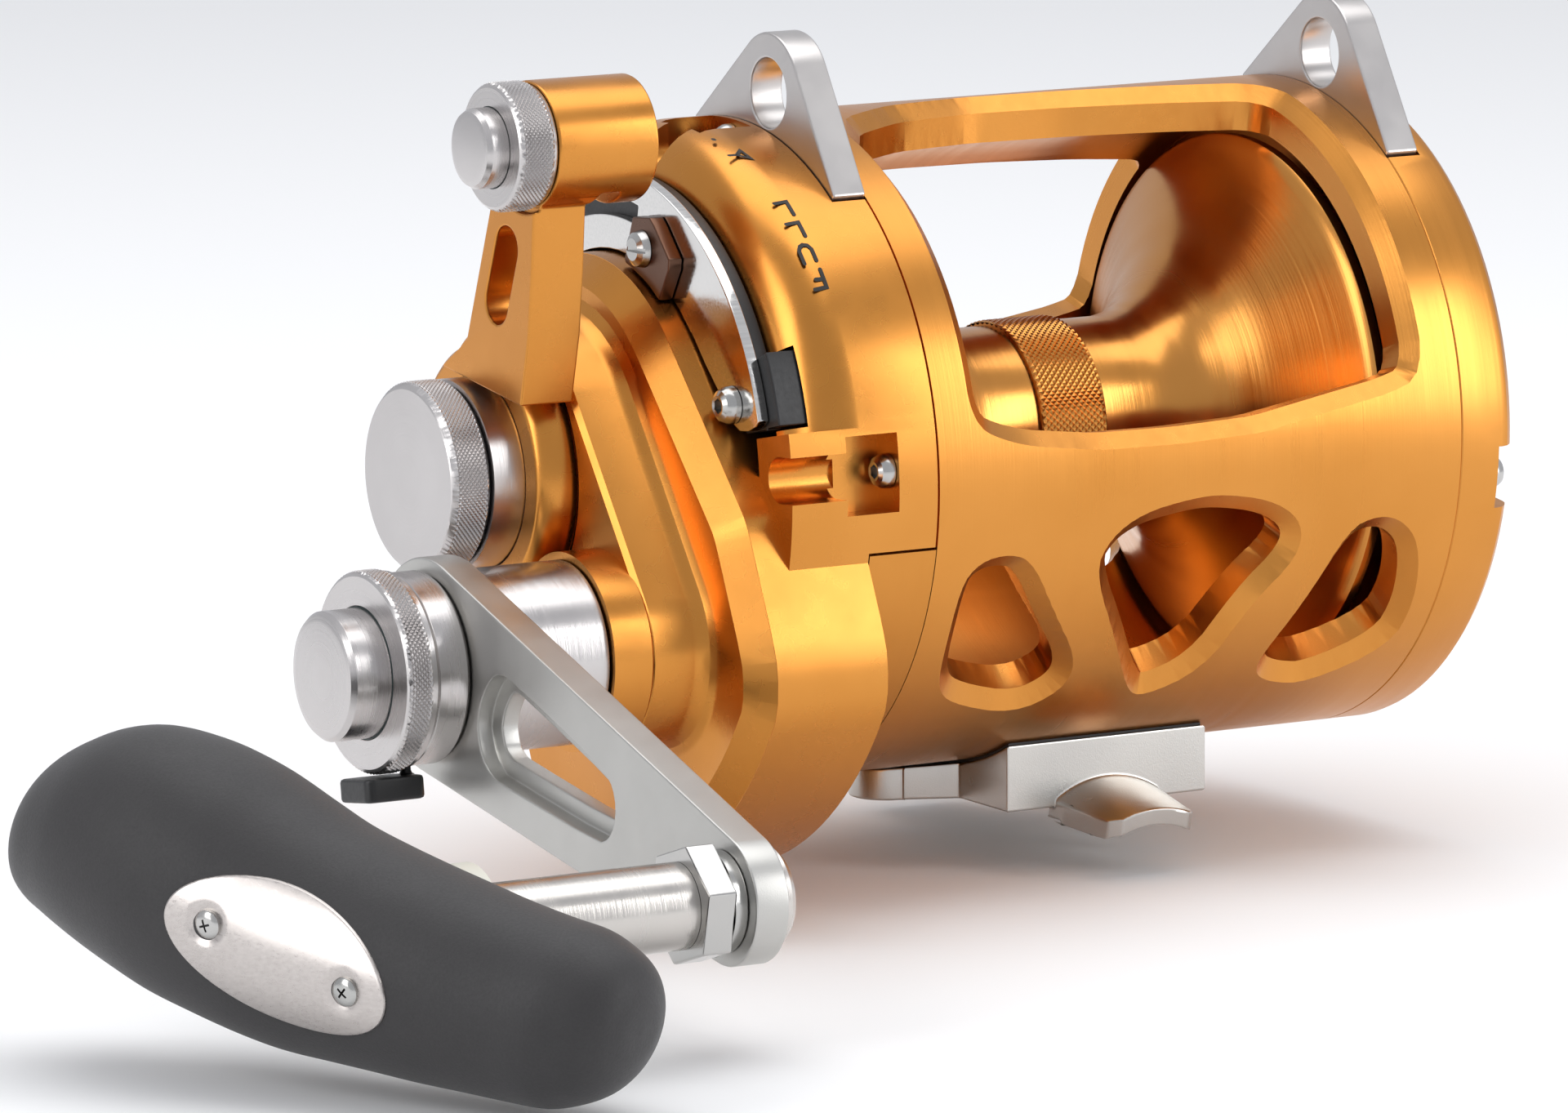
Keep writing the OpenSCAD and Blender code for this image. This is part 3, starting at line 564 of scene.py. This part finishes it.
def phillips(name, at, r, body, replaces, turn=0.0):
    """A domed screw head whose axis is at's local -X, with a cross recess cut into it."""
    bm = bmesh.new()
    prof = [(0.0, 0.0), (0.02, 0.3), (0.10, 0.62), (0.26, 0.86), (0.46, 0.98), (0.62, 1.0), (1.0, 0.98)]
    rings = [[bm.verts.new(at @ (Vector((-r * 0.62 * (1 - x_), 0, 0)) / 1000))] if q == 0 else
             [bm.verts.new(at @ (Vector((-r * 0.62 * (1 - x_), q * r * math.cos(2 * math.pi * i / 40), q * r * math.sin(2 * math.pi * i / 40))) / 1000)) for i in range(40)]
             for x_, q in prof]
    rings.append([bm.verts.new(at @ (Vector((0.2, 0, 0)) / 1000))])
    ring_grid(bm, rings)
    o = raw(name, bm)
    cutters = []
    for k in (0, 1):
        cb = bmesh.new()
        bmesh.ops.create_cube(cb, size=1.0)
        for v in cb.verts:
            w = 0.36 if v.co.x < 0 else 0.24
            v.co = Vector((v.co.x * r * 0.9 - r * 0.62, v.co.y * (r * 1.15 if v.co.x < 0 else r * 0.6), v.co.z * w)) / 1000
        cb.transform(at @ Matrix.Rotation(turn + k * math.pi / 2, 4, "X"))
        cutters.append(raw(name + "_c%d" % k, cb))
    applied(o, *cutters)
    for p in o.data.polygons:
        p.use_smooth = True
    o.data.materials.clear()
    o.data.materials.append(M["steel"])
    m = o.modifiers.new("smooth", "NODES")
    m.node_group = SMOOTH
    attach(o, body)
    if replaces:
        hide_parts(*replaces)
    return o


for s_, rot in ((-1, 0.5), (1, 1.1)):
    phillips("badge_screw_%s" % ("a" if s_ < 0 else "b"), GRIP_AT @ Matrix.Translation(Vector((badge_x(s_ * SCREW_Y, 0) + 0.1,) + on_grip(s_ * SCREW_Y, 0)) / 1000), 2.0, "grip_body",
             ["badge_screws"] if s_ < 0 else [], rot)


# ---- marks on the rim of the drag side plate, in a thin dark film
def on_rim(x, a, r=48.03):
    t = math.radians(a)
    return Vector((X(x), -r / 1000 * math.cos(t), AX[2] + r / 1000 * math.sin(t)))


def stroke(bm, P, w, r=48.03, caps=6):
    """A round-ended line through P, points [x, angle], as a thin film on the rim."""
    k = 48 * math.pi / 180
    Q = [Vector((x, a * k)) for x, a in P]
    left, right_ = [], []
    for i, q in enumerate(Q):
        d0 = (Q[i] - Q[i - 1]).normalized() if i else (Q[1] - Q[0]).normalized()
        d1 = (Q[i + 1] - Q[i]).normalized() if i < len(Q) - 1 else d0
        t = (d0 + d1).normalized()
        nrm = Vector((-t.y, t.x))
        s_ = w / 2 / max(0.5, nrm.dot(Vector((-d0.y, d0.x))))
        left.append(q + nrm * s_)
        right_.append(q - nrm * s_)
    d0, d1 = (Q[0] - Q[1]).normalized(), (Q[-1] - Q[-2]).normalized()

    def cap(c, d):
        a0 = math.atan2(d.y, d.x)
        return [c + Vector((math.cos(a0 + math.pi * (i / caps - 0.5)), math.sin(a0 + math.pi * (i / caps - 0.5)))) * w / 2 for i in range(1, caps)]

    quads = []
    for i in range(len(Q) - 1):
        quads.append((left[i], left[i + 1], right_[i + 1], right_[i]))
    put = lambda v: bm.verts.new(on_rim(v.x, v.y / k, r))
    for a, b, c, d in quads:
        steps = max(1, int((b - a).length / 0.8))
        prev = None
        for j in range(steps + 1):
            t = j / steps
            row = (put(a.lerp(b, t)), put(d.lerp(c, t)))
            if prev:
                bm.faces.new((prev[0], row[0], row[1], prev[1]))
            prev = row
    for c, d, e0, e1 in ((Q[0], d0, right_[0], left[0]), (Q[-1], d1, left[-1], right_[-1])):
        ring = [put(v) for v in cap(c, d)]
        mid = put(c)
        ends = [put(c + Vector((d.y, -d.x)) * w / 2)] + ring + [put(c + Vector((-d.y, d.x)) * w / 2)]
        for a, b in zip(ends, ends[1:]):
            bm.faces.new((mid, a, b))


bm = bmesh.new()
W = 0.62
for P in ([[-14.9, 54.6], [-12.8, 54.9], [-12.8, 51.7]], [[-14.9, 49.6], [-12.8, 49.9], [-12.8, 46.8]],
          [[-12.8, 41.6], [-12.8, 44.0], [-13.2, 44.8], [-13.9, 45.0], [-14.5, 44.6], [-14.9, 43.7], [-14.9, 41.1]],
          [[-12.8, 39.8], [-12.8, 36.3], [-14.8, 36.0]], [[-12.8, 37.9], [-14.1, 37.9]],
          [[-15.9, 69.2], [-14.6, 69.2]], [[-14.6, 69.2], [-13.4, 70.8], [-13.0, 67.6], [-14.6, 69.2]]):
    stroke(bm, P, W)
stroke(bm, [[-15.35, 75.7], [-15.3, 76.1]], 0.7)
bmesh.ops.remove_doubles(bm, verts=bm.verts[:], dist=1e-7)
piece("dial_marks", bm, M["ink"], "reel_body", ())

# ---------------------------------------------------------------- camera
cam_data = bpy.data.cameras.new("camera")
cam = bpy.data.objects.new("camera", cam_data)
scene.collection.objects.link(cam)
right = Vector((0.861985, -0.506909, -0.004656))
up = Vector((0.085292, 0.135972, 0.987036))
fwd = Vector((0.49970, 0.851202, -0.160440))
cam.matrix_world = Matrix((
    (right.x, up.x, -fwd.x, -0.811634),
    (right.y, up.y, -fwd.y, -1.31225),
    (right.z, up.z, -fwd.z, 0.284385),
    (0, 0, 0, 1),
))
cam_data.sensor_width = 36.0
cam_data.lens = 245.25
cam_data.shift_x = 0.0002
cam_data.shift_y = -0.0021
cam_data.clip_start = 0.05
cam_data.clip_end = 50.0
scene.camera = cam

# ---------------------------------------------------------------- floor and light
lo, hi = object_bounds()
me = bpy.data.meshes.new("floor")
bm = bmesh.new()
s, zf = 6.0, lo.z - 0.0015
vs = [bm.verts.new((x, y, zf)) for x, y in ((-s, -s), (s, -s), (s, s), (-s, s))]
bm.faces.new(vs)
bm.to_mesh(me)
bm.free()
floor = bpy.data.objects.new("floor", me)
scene.collection.objects.link(floor)
fm = Mat("floor_white")
fm.bsdf.inputs["Base Color"].default_value = (0.93, 0.93, 0.93, 1)
fm.bsdf.inputs["Roughness"].default_value = 0.9
fm.bsdf.inputs["Specular IOR Level"].default_value = 0.1
floor.data.materials.append(fm.m)

world = bpy.data.worlds.new("studio")
scene.world = world
world.use_nodes = True
bg = world.node_tree.nodes["Background"]
bg.inputs[0].default_value = (0.93, 0.95, 1.0, 1)
bg.inputs[1].default_value = 0.66


def area(name, loc, target, size, size_y, power, color=(1, 1, 1)):
    d = bpy.data.lights.new(name, "AREA")
    d.shape = "RECTANGLE"
    d.size, d.size_y, d.energy, d.color = size, size_y, power, color
    o = bpy.data.objects.new(name, d)
    scene.collection.objects.link(o)
    o.location = loc
    o.rotation_euler = (Vector(target) - Vector(loc)).to_track_quat("-Z", "Y").to_euler()
    return o


area("top", (0.1, 0.1, 1.2), (0, 0, 0.05), 1.4, 1.0, 8.0)
area("left", (-1.3, -0.2, 0.6), (0, 0, 0.05), 0.6, 1.0, 6.0)
area("front_right", (0.9, -1.1, 0.5), (0, 0, 0.05), 0.4, 0.9, 6.5)
